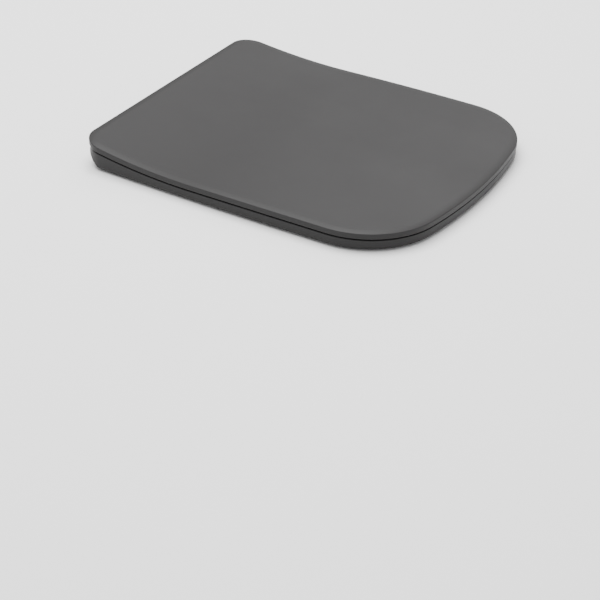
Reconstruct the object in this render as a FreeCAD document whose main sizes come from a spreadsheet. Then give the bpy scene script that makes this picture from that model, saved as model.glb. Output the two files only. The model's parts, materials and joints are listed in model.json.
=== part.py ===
import FreeCAD, Part
import math
import os

# A slim D-shaped toilet seat with a lid, a damped hinge barrel and a one-button release.
# Frame: X across, +Y to the rear, +Z up. The origin is under the middle of the lid, on the
# plane that the seat's pads rest on. The seat and the lid are shown closed.

Vector = FreeCAD.Vector
X_AXIS = Vector(1, 0, 0)
SIDES = (("left", -1), ("right", 1))

SIZES = (
    # overall plan of the lid, and the five radii of its outline
    ("lid_width", 366.0),
    ("lid_length", 441.0),
    ("side_radius", 5800.0),
    ("front_radius", 615.0),
    ("front_corner_radius", 95.5),
    ("rear_corner_radius", 29.0),
    ("widest_ahead_of_middle", 17.4),
    # side view of the lid's top: a faint crown, then a sweep up to the rear
    ("crown_height", 24.64),
    ("crown_radius", 11470.0),
    ("crown_ahead_of_middle", 74.0),
    ("sweep_start_behind_middle", 61.0),
    ("sweep_radius", 836.0),
    # lid shell
    ("lid_band", 8.3),
    ("lid_plate", 5.0),
    ("lid_wall", 3.0),
    ("lid_edge_radius", 2.0),
    ("parting_gap", 1.8),
    # seat ring
    ("seat_inset", 0.6),
    ("seat_rim_height", 1.6),
    ("seat_under_radius", 5.0),
    ("opening_width", 236.0),
    ("opening_front_margin", 58.0),
    ("opening_rear_margin", 66.5),
    ("opening_side_radius", 490.0),
    ("opening_front_radius", 232.0),
    ("opening_rear_radius", 199.0),
    ("opening_front_corner", 57.0),
    ("opening_rear_corner", 84.0),
    ("opening_under_radius", 5.0),
    ("dish_depth", 2.0),
    ("dish_outer_margin", 13.0),
    ("dish_inner_margin", 14.0),
    ("dish_rear_margin", 34.0),
    # pads under the seat and buffers under the lid
    ("pad_length", 28.5),
    ("pad_width", 13.5),
    ("pad_depth", 3.4),
    ("pad_stem_radius", 2.5),
    ("pad_stem_length", 4.0),
    ("plinth_margin", 2.2),
    ("pad_offset", 2.0),
    ("pad_front_margin", 139.0),
    ("pad_rear_margin", 135.0),
    ("buffer_length", 18.0),
    ("buffer_width", 8.0),
    ("buffer_stem_radius", 1.6),
    ("buffer_stem_length", 1.6),
    ("buffer_front_margin", 95.0),
    ("buffer_rear_margin", 120.0),
    # hinge barrel and the lugs that carry it
    ("hinge_setback", 12.0),
    ("barrel_radius", 11.2),
    ("barrel_wall", 2.6),
    ("barrel_gap", 2.0),
    ("tongue_reach", 5.2),
    ("lug_step", 0.6),
    ("lid_lug_width", 13.4),
    ("seat_lug_length", 48.0),
    ("seat_lug_margin", 7.0),
    ("lug_shoulder_setback", 2.0),
    ("lug_shoulder_radius", 38.0),
    ("web_reach", 8.0),
    ("end_cap_thickness", 3.0),
    # dampers, shafts and bushes
    ("shaft_radius", 4.0),
    ("shaft_flats", 6.0),
    ("shaft_engagement", 20.0),
    ("bush_wall", 2.0),
    ("damper_wall", 1.75),
    ("damper_floor", 3.0),
    ("damper_cap_thickness", 3.2),
    ("rotor_clearance", 0.4),
    ("seal_radius", 0.85),
    # fixing sockets, latch plates, release button and its spring
    ("socket_pitch", 130.0),
    ("socket_radius", 4.0),
    ("socket_bore_radius", 2.4),
    ("socket_top_drop", 1.2),
    ("latch_thickness", 1.6),
    ("latch_width", 8.0),
    ("latch_reach", 6.0),
    ("latch_hold", 1.0),
    ("button_angle", 80.0),
    ("button_length", 28.0),
    ("button_width", 13.0),
    ("button_depth", 4.8),
    ("button_travel", 2.0),
    ("wedge_depth", 4.0),
    ("wedge_width", 6.0),
    ("spring_radius", 2.3),
    ("spring_wire", 0.5),
    ("spring_turns", 6.0),
    # clearances
    ("joint_gap", 0.4),
    ("seat_fit", 0.1),
    ("running_fit", 0.05),
)

doc = FreeCAD.newDocument("toilet_seat")
sheet = doc.addObject("Spreadsheet::Sheet", "sizes")
for row, (alias, value) in enumerate(SIZES, start=1):
    sheet.set(f"A{row}", alias)
    sheet.set(f"B{row}", str(value))
    sheet.setAlias(f"B{row}", alias)
doc.recompute()


def size(alias):
    """The value of one cell of the sheet, in millimetres, degrees or turns."""
    return float(getattr(sheet, alias))


# ---------------------------------------------------------------- outlines in plan


def meeting_point(centre_a, reach_a, centre_b, reach_b):
    """Where two circles meet, on the side with the larger X."""
    span = centre_b - centre_a
    distance = span.Length
    along = (reach_a**2 - reach_b**2 + distance**2) / (2 * distance)
    across = math.sqrt(reach_a**2 - along**2)
    unit = span / distance
    normal = Vector(-unit.y, unit.x, 0)
    foot = centre_a + unit * along
    return max((foot + normal * across, foot - normal * across), key=lambda point: point.x)


def tangent_touch(centre, other_centre, radius):
    """The point where an arc of that radius meets the larger arc that it is tangent to."""
    return centre + (centre - other_centre).normalize() * radius


def arc(centre, start, end):
    """The shorter arc about a centre, from start to end."""
    middle = ((start - centre) + (end - centre)).normalize() * (start - centre).Length
    return Part.Arc(start, centre + middle, end).toShape()


def mirror_x(point):
    return Vector(-point.x, point.y, point.z)


def square_corner_centre(shape):
    """Centre of the rear right corner of a plan whose rear edge is straight."""
    corner_y = shape["rear_y"] - shape["rear_corner"]
    side_centre_x = shape["half_width"] - shape["side_radius"]
    reach = shape["side_radius"] - shape["rear_corner"]
    rise = corner_y - shape["widest_y"]
    return Vector(side_centre_x + math.sqrt(reach**2 - rise**2), corner_y, 0)


def outline(shape, inset):
    """A closed face of tangent arcs, inset evenly: each arc keeps its centre and loses radius."""
    side_centre = Vector(shape["half_width"] - shape["side_radius"], shape["widest_y"], 0)
    front_centre = Vector(0, shape["front_y"] + shape["front_radius"], 0)
    side = shape["side_radius"] - inset
    front = shape["front_radius"] - inset
    front_corner = shape["front_corner"] - inset
    rear_corner = shape["rear_corner"] - inset
    front_corner_centre = meeting_point(side_centre, side - front_corner, front_centre, front - front_corner)
    if "rear_radius" in shape:
        rear_centre = Vector(0, shape["rear_y"] - shape["rear_radius"], 0)
        rear = shape["rear_radius"] - inset
        rear_corner_centre = meeting_point(side_centre, side - rear_corner, rear_centre, rear - rear_corner)
        rear_touch = tangent_touch(rear_corner_centre, rear_centre, rear_corner)
    else:
        rear_corner_centre = square_corner_centre(shape)
        rear_touch = rear_corner_centre + Vector(0, rear_corner, 0)
    side_rear = tangent_touch(rear_corner_centre, side_centre, rear_corner)
    side_front = tangent_touch(front_corner_centre, side_centre, front_corner)
    front_touch = tangent_touch(front_corner_centre, front_centre, front_corner)
    stretches = (
        (rear_corner_centre, rear_touch, side_rear),
        (side_centre, side_rear, side_front),
        (front_corner_centre, side_front, front_touch),
    )
    edges = [arc(*stretch) for stretch in stretches]
    edges += [arc(*(mirror_x(point) for point in stretch)) for stretch in stretches]
    edges.append(arc(front_centre, front_touch, mirror_x(front_touch)))
    if "rear_radius" in shape:
        edges.append(arc(rear_centre, rear_touch, mirror_x(rear_touch)))
    else:
        edges.append(Part.LineSegment(rear_touch, mirror_x(rear_touch)).toShape())
    return Part.Face(Part.Wire(Part.__sortEdges__(edges)))


def prism(face, low, high):
    return face.translated(Vector(0, 0, low)).extrude(Vector(0, 0, high - low))


LID_PLAN = {
    "half_width": size("lid_width") / 2,
    "front_y": -size("lid_length") / 2,
    "rear_y": size("lid_length") / 2,
    "widest_y": -size("widest_ahead_of_middle"),
    "side_radius": size("side_radius"),
    "front_radius": size("front_radius"),
    "front_corner": size("front_corner_radius"),
    "rear_corner": size("rear_corner_radius"),
}
OPENING_PLAN = {
    "half_width": size("opening_width") / 2,
    "front_y": LID_PLAN["front_y"] + size("opening_front_margin"),
    "rear_y": LID_PLAN["rear_y"] - size("opening_rear_margin"),
    "widest_y": -size("widest_ahead_of_middle"),
    "side_radius": size("opening_side_radius"),
    "front_radius": size("opening_front_radius"),
    "rear_radius": size("opening_rear_radius"),
    "front_corner": size("opening_front_corner"),
    "rear_corner": size("opening_rear_corner"),
}

# ---------------------------------------------------------------- side view of the top

CROWN_CENTRE = Vector(0, -size("crown_ahead_of_middle"), size("crown_height") - size("crown_radius"))


def sweep_join(drop):
    """Where the crown hands over to the sweep, on a curve that lies drop below the top."""
    radius = size("crown_radius")
    across = size("sweep_start_behind_middle") - CROWN_CENTRE.y
    direction = Vector(0, across, math.sqrt(radius**2 - across**2)).normalize()
    return CROWN_CENTRE + direction * (radius - drop)


SWEEP_CENTRE = sweep_join(0) + (sweep_join(0) - CROWN_CENTRE).normalize() * size("sweep_radius")


def top_height(y, drop):
    """Height of the curve that lies drop below the lid's top, at a place along Y."""
    if y < sweep_join(drop).y:
        return CROWN_CENTRE.z + math.sqrt((size("crown_radius") - drop) ** 2 - (y - CROWN_CENTRE.y) ** 2)
    return SWEEP_CENTRE.z - math.sqrt((size("sweep_radius") + drop) ** 2 - (y - SWEEP_CENTRE.y) ** 2)


def top_edges(drop):
    """The crown and the sweep as two tangent arcs, past both ends of the lid."""
    overrun = 8.0
    front_y = LID_PLAN["front_y"] - overrun
    rear_y = LID_PLAN["rear_y"] + overrun
    front = Vector(0, front_y, top_height(front_y, drop))
    rear = Vector(0, rear_y, top_height(rear_y, drop))
    join = sweep_join(drop)
    return [arc(CROWN_CENTRE, front, join), arc(SWEEP_CENTRE, join, rear)]


def slab(drop, floor_edges):
    """Everything across the object between the curve at that drop and the edges of a floor."""
    over = top_edges(drop)
    front_wall = Part.LineSegment(over[0].Vertexes[0].Point, floor_edges[0].Vertexes[0].Point).toShape()
    rear_wall = Part.LineSegment(over[1].Vertexes[1].Point, floor_edges[-1].Vertexes[1].Point).toShape()
    face = Part.Face(Part.Wire(Part.__sortEdges__([*over, rear_wall, *floor_edges, front_wall])))
    reach = size("lid_width")
    return face.translated(Vector(-reach, 0, 0)).extrude(Vector(2 * reach, 0, 0))


def flat_floor(height):
    overrun = 8.0
    front = Vector(0, LID_PLAN["front_y"] - overrun, height)
    rear = Vector(0, LID_PLAN["rear_y"] + overrun, height)
    return [Part.LineSegment(front, rear).toShape()]


# ---------------------------------------------------------------- hinge line and stations

LUG_RADIUS = round(size("barrel_radius") + size("lug_step"), 6)
HINGE_Y = LID_PLAN["rear_y"] - size("hinge_setback")
HINGE_Z = top_height(HINGE_Y, size("lid_plate")) - size("joint_gap") - LUG_RADIUS
HINGE = Vector(0, HINGE_Y, HINGE_Z)
SEAT_LUG_START = LID_PLAN["half_width"] - size("seat_lug_length")
LID_LUG_END = SEAT_LUG_START - size("joint_gap")
LID_LUG_START = LID_LUG_END - size("lid_lug_width")
BARREL_END = LID_LUG_START - size("joint_gap")
DAMPER_END = BARREL_END - size("end_cap_thickness")
DAMPER_START = size("socket_pitch") / 2 + size("latch_reach") + size("button_travel") + 1.0
SHAFT_END = SEAT_LUG_START + size("shaft_engagement")
BARREL_BORE = size("barrel_radius") - size("barrel_wall")
PAD_X = (LID_PLAN["half_width"] + OPENING_PLAN["half_width"]) / 2 + size("pad_offset")
TALL = 3 * size("crown_height")

# The places that several pieces share, worked out from the sizes.
STATIONS = (
    ("hinge_y", HINGE_Y),
    ("hinge_z", HINGE_Z),
    ("seat_lug_start", SEAT_LUG_START),
    ("lid_lug_end", LID_LUG_END),
    ("lid_lug_start", LID_LUG_START),
    ("barrel_end", BARREL_END),
    ("barrel_bore", BARREL_BORE),
    ("damper_end", DAMPER_END),
    ("damper_start", DAMPER_START),
    ("shaft_end", SHAFT_END),
    ("pad_across", PAD_X),
)
stations = doc.addObject("Spreadsheet::Sheet", "stations")
for row, (alias, value) in enumerate(STATIONS, start=1):
    stations.set(f"A{row}", alias)
    stations.set(f"B{row}", str(value))
    stations.setAlias(f"B{row}", alias)
doc.recompute()


def rod(radius, start, end):
    """A cylinder on the hinge line between two places along X."""
    return Part.makeCylinder(radius, abs(end - start), HINGE + Vector(min(start, end), 0, 0), X_AXIS)


def block(x_range, y_range, z_range):
    low = Vector(min(x_range), min(y_range), min(z_range))
    high = Vector(max(x_range), max(y_range), max(z_range))
    span = high - low
    return Part.makeBox(span.x, span.y, span.z, low)


def shaft_section(radius, flats, start, end):
    """A round bar with two flats, above and below, between two places along X."""
    y_range = (HINGE_Y - radius, HINGE_Y + radius)
    z_range = (HINGE_Z - flats / 2, HINGE_Z + flats / 2)
    return rod(radius, start, end).common(block((start, end), y_range, z_range))


def stadium(length, width, low, high, x=0.0, y=0.0):
    """An upright pad with round ends, long along X."""
    half = width / 2
    run = length / 2 - half
    corners = (Vector(-run, -half, 0), Vector(run, -half, 0), Vector(run, half, 0), Vector(-run, half, 0))
    edges = [
        Part.LineSegment(corners[0], corners[1]).toShape(),
        Part.Arc(corners[1], Vector(run + half, 0, 0), corners[2]).toShape(),
        Part.LineSegment(corners[2], corners[3]).toShape(),
        Part.Arc(corners[3], Vector(-run - half, 0, 0), corners[0]).toShape(),
    ]
    face = Part.Face(Part.Wire(edges)).translated(Vector(x, y, low))
    return face.extrude(Vector(0, 0, high - low))


def rim_edges(solid, height_at, tolerance=0.05):
    """Edges of a blank that run round its outline at the height that height_at gives."""
    found = []
    for edge in solid.Edges:
        first, last = edge.ParameterRange
        points = [edge.valueAt(first + (last - first) * share) for share in (0.0, 0.5, 1.0)]
        across = abs(points[0].x - points[2].x)
        spans_object = across > size("lid_width") / 2 and abs(points[0].y - points[2].y) < tolerance
        inside = spans_object and abs(points[0].y) < size("lid_length") / 2 - size("rear_corner_radius")
        if not inside and all(abs(point.z - height_at(point.y)) < tolerance for point in points):
            found.append(edge)
    return found


# ---------------------------------------------------------------- document objects

subparts = []


def finished(piece):
    """List a document object as one of the finished pieces. Its label is the piece's name."""
    subparts.append(piece)


def add(label, shape):
    """A finished piece from a shape worked out with Part's own functions."""
    piece = doc.addObject("Part::Feature", label)
    piece.Label = label
    piece.Shape = shape.removeSplitter()
    piece.Placement = FreeCAD.Placement()
    finished(piece)


def bound(kind, label, turn, expressions):
    """A primitive at a fixed turn, whose sizes and place follow expressions on the sheets."""
    item = doc.addObject(kind, label)
    item.Label = label
    item.Placement = FreeCAD.Placement(Vector(0, 0, 0), turn)
    for target, expression in expressions.items():
        item.setExpression(target, expression)
    return item


ALONG_X = FreeCAD.Rotation(Vector(0, 1, 0), 90)
UPRIGHT = FreeCAD.Rotation()


def hinge_bar(label, radius, start, end):
    """A cylinder on the hinge line between two places along X, all given as expressions."""
    sizes = {"Radius": radius, "Height": f"({end}) - ({start})"}
    place = {
        "Placement.Base.x": start,
        "Placement.Base.y": "stations.hinge_y",
        "Placement.Base.z": "stations.hinge_z",
    }
    return bound("Part::Cylinder", label, ALONG_X, {**sizes, **place})


def upright(label, radius, height, x, y, z):
    """A vertical cylinder, all given as expressions."""
    place = {"Placement.Base.x": x, "Placement.Base.y": y, "Placement.Base.z": z}
    return bound("Part::Cylinder", label, UPRIGHT, {"Radius": radius, "Height": height, **place})


def cuboid(label, x_span, y_span, z_span):
    """A box between pairs of expressions along X, Y and Z."""
    expressions = {}
    for side, axis, span in zip(("Length", "Width", "Height"), "xyz", (x_span, y_span, z_span)):
        low, high = span
        expressions[side] = f"({high}) - ({low})"
        expressions[f"Placement.Base.{axis}"] = low
    return bound("Part::Box", label, UPRIGHT, expressions)


def joined(label, *items):
    """Several objects as one."""
    item = doc.addObject("Part::MultiFuse", label)
    item.Label = label
    item.Shapes = list(items)
    item.Refine = True
    return item


def overlap_of(label, first, second):
    item = doc.addObject("Part::Common", label)
    item.Label = label
    item.Base = first
    item.Tool = second
    return item


def carved(label, base, *tools):
    """An object with others cut from it."""
    tool = tools[0] if len(tools) == 1 else joined(f"{label}_cutters", *tools)
    item = doc.addObject("Part::Cut", label)
    item.Label = label
    item.Base = base
    item.Tool = tool
    item.Refine = True
    return item


def span(side, near, far):
    """Two places along X, given outwards from the middle, as start and end on one side."""
    return (near, far) if side > 0 else (f"-({far})", f"-({near})")


# ---------------------------------------------------------------- lid


def both_sides(shape):
    """A shape and its mirror image in X, as one group."""
    return shape.fuse(shape.mirror(Vector(0, 0, 0), X_AXIS))


def make_lid():
    band_floor = top_edges(size("lid_band"))
    blank = prism(outline(LID_PLAN, 0), 0, TALL).common(slab(0, band_floor))
    edges = rim_edges(blank, lambda y: top_height(y, 0))
    blank = blank.makeFillet(size("lid_edge_radius"), edges)
    under_plate = slab(size("lid_plate"), flat_floor(-TALL / 2))
    hollow = prism(outline(LID_PLAN, size("lid_wall")), -TALL, TALL).common(under_plate)
    shell = blank.cut(hollow)
    lug = rod(LUG_RADIUS, LID_LUG_START, LID_LUG_END)
    web_y = (HINGE_Y - size("web_reach"), HINGE_Y + LUG_RADIUS)
    web_top = top_height(web_y[0], size("lid_plate") / 2)
    lug = lug.fuse(block((LID_LUG_START, LID_LUG_END), web_y, (HINGE_Z, web_top)))
    lid = shell.fuse(both_sides(lug))
    bush_bore = size("shaft_radius") + size("bush_wall") + size("running_fit")
    lid = lid.cut(rod(bush_bore, -LID_LUG_END - 1, -LID_LUG_START + 1))
    key_radius = size("shaft_radius") + size("running_fit")
    key_flats = size("shaft_flats") + 2 * size("running_fit")
    lid = lid.cut(shaft_section(key_radius, key_flats, LID_LUG_START - 1, LID_LUG_END + 1))
    for x, y in buffer_places():
        underside = top_height(y, size("lid_plate"))
        radius = size("buffer_stem_radius") + size("running_fit")
        depth = size("buffer_stem_length") + size("seat_fit")
        lid = lid.cut(Part.makeCylinder(radius, depth + 2, Vector(x, y, underside - 2)))
    return lid


def buffer_places():
    front = LID_PLAN["front_y"] + size("buffer_front_margin")
    rear = LID_PLAN["rear_y"] - size("buffer_rear_margin")
    return [(side * PAD_X, y) for y in (front, rear) for _, side in SIDES]


def pill_parts(label, length, width, x, y, z_span):
    """A box and two cylinders that together make an upright pill, long along X."""
    low, high = z_span
    run = f"(({length}) - ({width})) / 2"
    y_span = (f"({y}) - ({width}) / 2", f"({y}) + ({width}) / 2")
    parts = [cuboid(f"{label}_middle", (f"({x}) - {run}", f"({x}) + {run}"), y_span, z_span)]
    for end, sign in (("start", "-"), ("end", "+")):
        round_x = f"({x}) {sign} {run}"
        parts.append(upright(f"{label}_{end}", f"({width}) / 2", f"({high}) - ({low})", round_x, y, low))
    return parts


def make_buffer(label, side, y_place, y):
    """A soft block under the lid, just short of the seat's top, with a stem into the lid."""
    ends = (y - size("buffer_width") / 2, y + size("buffer_width") / 2)
    top = min(top_height(end, size("lid_plate")) for end in ends)
    seat_top = max(top_height(end, size("lid_band") + size("parting_gap")) for end in ends)
    stem_top = f"{top_height(y, size('lid_plate'))} + sizes.buffer_stem_length"
    x = f"{side} * stations.pad_across"
    low = f"{seat_top} + 0.75 * sizes.joint_gap"
    parts = pill_parts(label, "sizes.buffer_length", "sizes.buffer_width", x, y_place, (low, str(top)))
    height = f"({stem_top}) - ({low})"
    stem = upright(f"{label}_stem", "sizes.buffer_stem_radius", height, x, y_place, low)
    finished(joined(label, *parts, stem))


# ---------------------------------------------------------------- seat


def pad_places():
    front = LID_PLAN["front_y"] + size("pad_front_margin")
    rear = LID_PLAN["rear_y"] - size("pad_rear_margin")
    return [(side * PAD_X, y) for y in (front, rear) for _, side in SIDES]


def make_seat():
    drop = size("lid_band") + size("parting_gap")
    rim = size("seat_rim_height")
    plan = outline(LID_PLAN, size("seat_inset"))
    blank = prism(plan, 0, TALL).common(slab(drop, flat_floor(rim)))
    blank = blank.makeFillet(size("seat_under_radius"), rim_edges(blank, lambda y: rim))
    hole = prism(outline(OPENING_PLAN, 0), 0, TALL)
    ring = blank.cut(hole)
    lip = [edge for edge in ring.Edges if is_lip(edge, rim)]
    ring = ring.makeFillet(size("opening_under_radius"), lip)
    ring = ring.cut(make_dish(rim))
    half = LID_PLAN["half_width"]
    far = 2 * size("lid_length")
    ring = ring.cut(block((-half, half), (HINGE_Y, far), (-far, far)))
    ring = ring.fuse(both_sides(within_rear_corner(make_seat_lug(), size("seat_inset"))))
    lug_clear = LUG_RADIUS + size("joint_gap")
    barrel_clear = size("barrel_radius") + size("barrel_gap")
    for reach, clear in ((SEAT_LUG_START, lug_clear), (LID_LUG_START, barrel_clear)):
        ring = ring.cut(rod(clear, -reach, reach))
        ring = ring.cut(block((-reach, reach), (HINGE_Y - clear, far), (HINGE_Z, far)))
    tongue_y = HINGE_Y - size("tongue_reach")
    ring = ring.cut(block((-SEAT_LUG_START, SEAT_LUG_START), (tongue_y, far), (-far, far)))
    for x, y in pad_places():
        length = size("pad_length") + 2 * size("plinth_margin")
        width = size("pad_width") + 2 * size("plinth_margin")
        ring = ring.fuse(stadium(length, width, rim, rim + size("dish_depth") + 1, x, y))
        length = size("pad_length") + 2 * size("seat_fit")
        width = size("pad_width") + 2 * size("seat_fit")
        floor = size("pad_depth") + size("seat_fit")
        ring = ring.cut(stadium(length, width, 0, floor, x, y))
        radius = size("pad_stem_radius") + size("running_fit")
        ring = ring.cut(Part.makeCylinder(radius, floor + size("pad_stem_length"), Vector(x, y, 0)))
    end = SHAFT_END + size("joint_gap")
    key_radius = size("shaft_radius") + size("running_fit")
    key_flats = size("shaft_flats") + 2 * size("running_fit")
    ring = ring.cut(shaft_section(key_radius, key_flats, -end, -SEAT_LUG_START + 1))
    return ring.cut(rod(key_radius + size("bush_wall"), SEAT_LUG_START - 1, end))


def make_seat_lug():
    """The half-round rear corner: a round bar whose end tapers in an arc, clear of the lid's corner."""
    radius = LUG_RADIUS
    shoulder = LID_PLAN["half_width"] - size("rear_corner_radius") - size("lug_shoulder_setback")
    end = LID_PLAN["half_width"] - size("seat_lug_margin")
    bend = size("lug_shoulder_radius")
    centre = Vector(shoulder, radius - bend, 0)

    def on_arc(x):
        return Vector(x, centre.y + math.sqrt(bend**2 - (x - shoulder) ** 2), 0)

    middle, tip = on_arc((shoulder + end) / 2), on_arc(end)
    places = ((end, 0), (SEAT_LUG_START, 0), (SEAT_LUG_START, radius), (shoulder, radius))
    corners = [Vector(x, y, 0) for x, y in places]
    edges = [Part.LineSegment(a, b).toShape() for a, b in zip(corners, corners[1:])]
    edges.append(Part.Arc(corners[-1], middle, tip).toShape())
    edges.append(Part.LineSegment(tip, corners[0]).toShape())
    lug = Part.Face(Part.Wire(edges)).revolve(Vector(0, 0, 0), X_AXIS, 360)
    return lug.translated(HINGE)


def within_rear_corner(solid, inset):
    """A solid at the rear right, less what lies outside the lid's outline inset by that much."""
    centre = square_corner_centre(LID_PLAN)
    far = 2 * size("lid_width")
    outside = block((centre.x, far), (centre.y, far), (0, TALL))
    outside = outside.cut(Part.makeCylinder(LID_PLAN["rear_corner"] - inset, TALL, centre))
    behind = block((0, far), (LID_PLAN["rear_y"] - inset, far), (0, TALL))
    return solid.cut(outside).cut(behind)


def is_lip(edge, height):
    """True for the opening's edges on the underside of the ring."""
    points = [edge.valueAt(value) for value in edge.ParameterRange]
    inside = all(abs(point.x) <= OPENING_PLAN["half_width"] + 0.1 for point in points)
    within = all(OPENING_PLAN["front_y"] - 0.1 < point.y < OPENING_PLAN["rear_y"] + 0.1 for point in points)
    return inside and within and all(abs(point.z - height) < 0.01 for point in points)


def make_dish(rim):
    """The shallow hollow of the underside, between the outer edge and the opening's lip."""
    outer = prism(outline(LID_PLAN, size("dish_outer_margin")), rim - 1, rim + size("dish_depth"))
    inner = prism(outline(OPENING_PLAN, -size("dish_inner_margin")), 0, TALL)
    rear = LID_PLAN["rear_y"] - size("dish_rear_margin")
    far = size("lid_length")
    return outer.cut(inner).cut(block((-far, far), (rear, far), (-far, far)))


def make_pad(label, side, y_place):
    """A soft pad in its plinth, standing proud of the rim, with a stem into the seat."""
    x = f"{side} * stations.pad_across"
    parts = pill_parts(label, "sizes.pad_length", "sizes.pad_width", x, y_place, ("0", "sizes.pad_depth"))
    height = "sizes.pad_depth + sizes.pad_stem_length - 2 * sizes.seat_fit"
    stem = upright(f"{label}_stem", "sizes.pad_stem_radius", height, x, y_place, "0")
    finished(joined(label, *parts, stem))


# ---------------------------------------------------------------- hinge barrel and what it holds


def button_frame():
    """Outward and sideways directions of the button, which faces forward of straight down."""
    angle = math.radians(size("button_angle"))
    outward = Vector(0, -math.sin(angle), -math.cos(angle))
    return outward, outward.cross(X_AXIS)


def turned(shape):
    """A piece modelled with +Z as its outward direction, turned and moved to the barrel."""
    outward, _ = button_frame()
    turn = FreeCAD.Rotation(Vector(0, 0, 1), outward)
    shape = shape.copy()
    shape.Placement = FreeCAD.Placement(HINGE, turn).multiply(shape.Placement)
    return shape


def button_head(clearance, depth):
    """The pill-shaped head, from that depth below the barrel's surface to beyond it."""
    length = size("button_length") + 2 * clearance
    width = size("button_width") + 2 * clearance
    return turned(stadium(length, width, size("barrel_radius") - depth, size("barrel_radius") + 2))


def wedge(clearance):
    """The button's two-way ramp: as deep as it widens, so latch travel equals button travel."""
    top = size("barrel_radius") - size("button_depth")
    low = top - size("wedge_depth") - clearance
    slope = clearance * math.sqrt(2)
    wide = size("button_length") / 2 - 1 + slope
    narrow = wide - (top - low)
    half = size("wedge_width") / 2 + clearance
    corners = [Vector(x, -half, z) for x, z in ((-wide, top), (wide, top), (narrow, low), (-narrow, low))]
    face = Part.Face(Part.makePolygon([*corners, corners[0]]))
    return face.extrude(Vector(0, 2 * half, 0))


def make_barrel():
    """A tube with a hole for each socket and a pill-shaped hole for the button."""
    ends = ("-stations.barrel_end", "stations.barrel_end")
    tube = hinge_bar("barrel_blank", "sizes.barrel_radius", *ends)
    cutters = [hinge_bar("barrel_bore_cutter", "stations.barrel_bore", *ends)]
    for name, side in SIDES:
        x = f"{side} * sizes.socket_pitch / 2"
        low = "stations.hinge_z - sizes.barrel_radius - 1"
        radius = "sizes.socket_radius + sizes.running_fit"
        height = "sizes.barrel_radius"
        cutters.append(upright(f"socket_hole_{name}", radius, height, x, "stations.hinge_y", low))
    slot = doc.addObject("Part::Feature", "button_slot")
    slot.Label = "button_slot"
    slot.Shape = button_head(1.5 * size("seat_fit"), size("barrel_radius"))
    finished(carved("hinge_barrel", tube, *cutters, slot))


def make_button():
    inside = rod(size("barrel_radius"), -size("button_length"), size("button_length"))
    return button_head(0, size("button_depth")).common(inside).fuse(turned(wedge(0)))


def make_button_spring():
    """A coil spring between the button's back and the far wall of the barrel."""
    radius = size("spring_radius")
    wire = size("spring_wire") / 2
    margin = wire + 0.1
    high = size("barrel_radius") - size("button_depth") - size("wedge_depth") - margin
    low = -math.sqrt(BARREL_BORE**2 - (radius + wire) ** 2) + margin
    helix = Part.makeHelix((high - low) / size("spring_turns"), high - low, radius)
    start = helix.Vertexes[0].Point
    section = Part.Wire(Part.makeCircle(wire, start, Vector(0, 1, 0)))
    coil = Part.Wire(helix).makePipeShell([section], True, True)
    coil.translate(Vector(0, 0, low))
    return turned(coil)


def make_socket(name, side):
    """A sleeve across the barrel that a fixing pin enters from below."""
    x = f"{side} * sizes.socket_pitch / 2"
    mouth = "stations.hinge_z - sqrt(sizes.barrel_radius ^ 2 - sizes.socket_radius ^ 2)"
    height = "sqrt(sizes.barrel_radius ^ 2 - sizes.socket_radius ^ 2) - sizes.socket_top_drop"
    sleeve = upright(f"sleeve_{name}", "sizes.socket_radius", height, x, "stations.hinge_y", mouth)
    bore = upright(f"sleeve_bore_{name}", "sizes.socket_bore_radius", height, x, "stations.hinge_y", mouth)
    finished(carved(f"pin_socket_{name}", sleeve, bore))


def make_latch(side):
    """A flat plate with a long hole, whose outer edge hooks over the pin above its socket."""
    pin_x = size("socket_pitch") / 2
    low = HINGE_Z - size("socket_top_drop") + 0.3
    z_range = (low, low + size("latch_thickness"))
    half = size("latch_width") / 2
    plate = block((0, side * (pin_x + size("latch_reach"))), (HINGE_Y - half, HINGE_Y + half), z_range)
    narrow_end = block((0, 3 * side * size("wedge_depth")), (HINGE_Y - 2 * half, HINGE_Y + 2 * half), z_range)
    ramp = turned(extended_wedge())
    plate = plate.cut(narrow_end.common(ramp)).cut(turned(wedge(0.3)))
    release = size("button_travel") + size("latch_hold")
    radius = size("socket_bore_radius") + 0.2
    hole_outer = pin_x + size("socket_bore_radius") - size("latch_hold") - radius
    slot = stadium(release + 2 * radius, 2 * radius, z_range[0] - 1, z_range[1] + 1)
    slot.translate(Vector(side * (hole_outer - release / 2), HINGE_Y, 0))
    return plate.cut(slot)


def extended_wedge():
    """The ramp's planes carried on behind the button, where the latch plates end."""
    top = size("barrel_radius") - size("button_depth")
    low = -BARREL_BORE
    wide = size("button_length") / 2 - 1 + 0.3 * math.sqrt(2)
    narrow = max(wide - (top - low), size("spring_radius") + 2 * size("spring_wire"))
    bend = top - (wide - narrow)
    corners = [(-wide, top), (wide, top), (narrow, bend), (narrow, low), (-narrow, low), (-narrow, bend)]
    points = [Vector(x, -size("latch_width"), z) for x, z in corners]
    face = Part.Face(Part.makePolygon([*points, points[0]]))
    return face.extrude(Vector(0, 2 * size("latch_width"), 0))


def tube_piece(label, side, outer, inner, near, far, bore_near=None):
    """A turned piece on the hinge line: a bar with a bore, which may start further out."""
    blank = hinge_bar(f"{label}_blank", outer, *span(side, near, far))
    bore = hinge_bar(f"{label}_bore", inner, *span(side, bore_near or near, far))
    return carved(label, blank, bore)


def make_end_cap(name, side):
    outer = "stations.barrel_bore - sizes.running_fit"
    inner = "sizes.shaft_radius + 3 * sizes.seat_fit"
    ends = ("stations.damper_end", "stations.barrel_end")
    finished(tube_piece(f"barrel_end_cap_{name}", side, outer, inner, *ends))


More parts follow.
